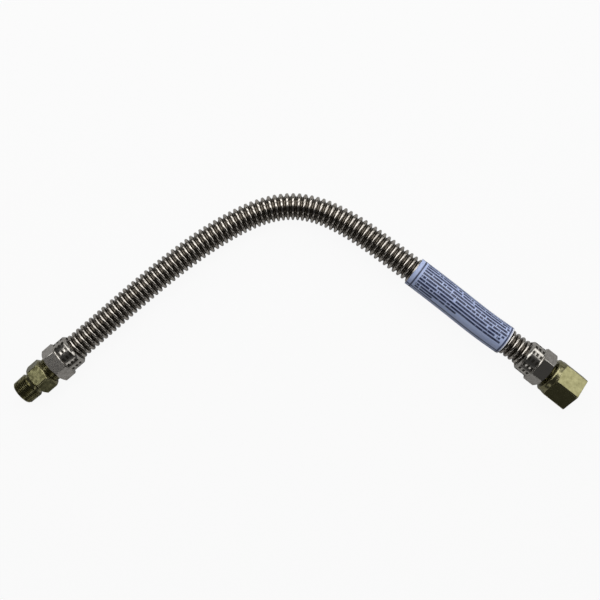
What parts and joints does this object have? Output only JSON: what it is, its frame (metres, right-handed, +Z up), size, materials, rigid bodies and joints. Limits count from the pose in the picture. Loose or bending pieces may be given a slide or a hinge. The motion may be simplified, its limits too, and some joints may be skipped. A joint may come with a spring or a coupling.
{
  "type": "corrugated gas connector hose",
  "caption": "Bent corrugated steel gas connector with a flare nut at each end, a brass male and a brass female pipe adapter, and a printed sleeve on one leg.",
  "frame": {"origin": "on the surface that the connector lies on, under the middle of its box", "axes": "+X from the male end to the female end, +Y towards the top of the bend, +Z up from the surface"},
  "size_m": [0.574, 0.2166, 0.0425],
  "materials": {
    "stainless_tube": "bright, rolled",
    "plated_nut": "dull plated",
    "brass": "machined",
    "printed_sleeve": "printed"
  },
  "bodies": {
    "root": {"corrugated_tube": "stainless_tube", "flare_nut_male_end": "plated_nut", "flare_nut_female_end": "plated_nut", "male_pipe_adapter": "brass", "female_pipe_adapter": "brass", "label_sleeve": "printed_sleeve"}
  },
  "joints": []
}
